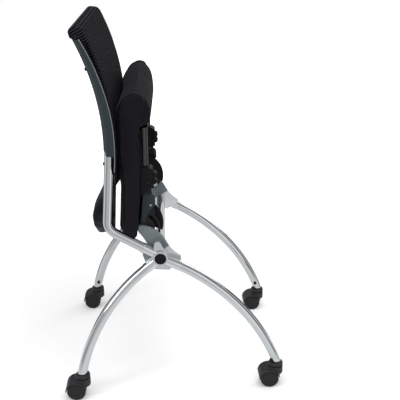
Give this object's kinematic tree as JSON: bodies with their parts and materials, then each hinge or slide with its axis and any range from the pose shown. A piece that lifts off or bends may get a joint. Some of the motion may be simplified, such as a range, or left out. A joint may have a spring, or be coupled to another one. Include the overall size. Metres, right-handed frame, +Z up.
{
  "type": "nesting chair",
  "caption": "Nesting task chair: curved chromed tube legs on twin-wheel casters, cast side hubs, flip-up upholstered seat and ribbed mesh back with a bulging lower shell.",
  "frame": {"origin": "on the floor, at the centre of the outline seen from above, with the seat flipped up", "axes": "+X forward, +Y to the sitter's left, +Z up"},
  "size_m": [0.5969, 0.5434, 0.977],
  "materials": {
    "chrome": "polished",
    "cast": "satin cast",
    "black_plastic": "matte",
    "teal_plastic": "matte",
    "black_steel": "satin black",
    "zinc_steel": "satin",
    "nylon": "natural nylon",
    "plywood": "plain",
    "fabric_foam": "woven black",
    "mesh_fabric": "knitted black mesh",
    "rubber": "matte",
    "nylon_black": "satin black"
  },
  "bodies": {
    "frame": {"hub_left": "cast", "hub_right": "cast", "cross_tube": "chrome", "hub_bolts": "zinc_steel", "hub_cap_left": "black_plastic", "hub_cap_right": "black_plastic", "front_leg_left": "chrome", "front_leg_right": "chrome", "rear_leg_left": "chrome", "rear_leg_right": "chrome", "leg_stops": "rubber", "upright_left": "chrome", "upright_right": "chrome", "stop_pins": "zinc_steel", "pivot_pin_left": "zinc_steel", "pivot_pin_right": "zinc_steel", "upright_sleeve_left": "teal_plastic", "upright_sleeve_right": "teal_plastic", "back_frame": "black_plastic", "back_mesh": "mesh_fabric", "lumbar_shell": "black_plastic", "back_screws": "zinc_steel", "front_left_socket": "black_plastic", "front_right_socket": "black_plastic", "rear_left_socket": "black_plastic", "rear_right_socket": "black_plastic"},
    "seat": {"seat_board": "plywood", "seat_cushion": "fabric_foam", "seat_shell": "black_plastic", "seat_rail_left": "chrome", "seat_rail_right": "chrome", "pivot_bracket_left": "black_steel", "pivot_bracket_right": "black_steel", "pivot_bushes": "nylon", "pivot_cover_left": "teal_plastic", "pivot_cover_right": "teal_plastic", "cover_screws": "zinc_steel", "rail_bumper_left": "rubber", "rail_bumper_right": "rubber"},
    "front_left_caster": {"front_left_stem": "zinc_steel", "front_left_hood": "black_plastic", "front_left_axle": "zinc_steel"},
    "front_left_wheel_inner": {"front_left_wheel_inner": "nylon_black"},
    "front_left_wheel_outer": {"front_left_wheel_outer": "nylon_black"},
    "front_right_caster": {"front_right_stem": "zinc_steel", "front_right_hood": "black_plastic", "front_right_axle": "zinc_steel"},
    "front_right_wheel_inner": {"front_right_wheel_inner": "nylon_black"},
    "front_right_wheel_outer": {"front_right_wheel_outer": "nylon_black"},
    "rear_left_caster": {"rear_left_stem": "zinc_steel", "rear_left_hood": "black_plastic", "rear_left_axle": "zinc_steel"},
    "rear_left_wheel_inner": {"rear_left_wheel_inner": "nylon_black"},
    "rear_left_wheel_outer": {"rear_left_wheel_outer": "nylon_black"},
    "rear_right_caster": {"rear_right_stem": "zinc_steel", "rear_right_hood": "black_plastic", "rear_right_axle": "zinc_steel"},
    "rear_right_wheel_inner": {"rear_right_wheel_inner": "nylon_black"},
    "rear_right_wheel_outer": {"rear_right_wheel_outer": "nylon_black"}
  },
  "joints": [
    {"name": "seat_fold", "type": "hinge", "parent": "frame", "child": "seat", "pos_m": [-0.084, 0, 0.47], "axis": [0, 1, 0], "range_deg": [0, 90]},
    {"name": "front_left_swivel", "type": "hinge", "parent": "frame", "child": "front_left_caster", "pos_m": [0.273, 0.212, 0.05], "axis": [0, 0, 1], "continuous": true},
    {"name": "front_left_inner_roll", "type": "hinge", "parent": "front_left_caster", "child": "front_left_wheel_inner", "pos_m": [0.2555, 0.212, 0.025], "axis": [0, 1, 0], "continuous": true},
    {"name": "front_left_outer_roll", "type": "hinge", "parent": "front_left_caster", "child": "front_left_wheel_outer", "pos_m": [0.2555, 0.212, 0.025], "axis": [0, 1, 0], "continuous": true},
    {"name": "front_right_swivel", "type": "hinge", "parent": "frame", "child": "front_right_caster", "pos_m": [0.273, -0.212, 0.05], "axis": [0, 0, 1], "continuous": true},
    {"name": "front_right_inner_roll", "type": "hinge", "parent": "front_right_caster", "child": "front_right_wheel_inner", "pos_m": [0.2555, -0.212, 0.025], "axis": [0, 1, 0], "continuous": true},
    {"name": "front_right_outer_roll", "type": "hinge", "parent": "front_right_caster", "child": "front_right_wheel_outer", "pos_m": [0.2555, -0.212, 0.025], "axis": [0, 1, 0], "continuous": true},
    {"name": "rear_left_swivel", "type": "hinge", "parent": "frame", "child": "rear_left_caster", "pos_m": [-0.2525, 0.24566, 0.05], "axis": [0, 0, 1], "continuous": true},
    {"name": "rear_left_inner_roll", "type": "hinge", "parent": "rear_left_caster", "child": "rear_left_wheel_inner", "pos_m": [-0.27, 0.24566, 0.025], "axis": [0, 1, 0], "continuous": true},
    {"name": "rear_left_outer_roll", "type": "hinge", "parent": "rear_left_caster", "child": "rear_left_wheel_outer", "pos_m": [-0.27, 0.24566, 0.025], "axis": [0, 1, 0], "continuous": true},
    {"name": "rear_right_swivel", "type": "hinge", "parent": "frame", "child": "rear_right_caster", "pos_m": [-0.2525, -0.24566, 0.05], "axis": [0, 0, 1], "continuous": true},
    {"name": "rear_right_inner_roll", "type": "hinge", "parent": "rear_right_caster", "child": "rear_right_wheel_inner", "pos_m": [-0.27, -0.24566, 0.025], "axis": [0, 1, 0], "continuous": true},
    {"name": "rear_right_outer_roll", "type": "hinge", "parent": "rear_right_caster", "child": "rear_right_wheel_outer", "pos_m": [-0.27, -0.24566, 0.025], "axis": [0, 1, 0], "continuous": true}
  ]
}
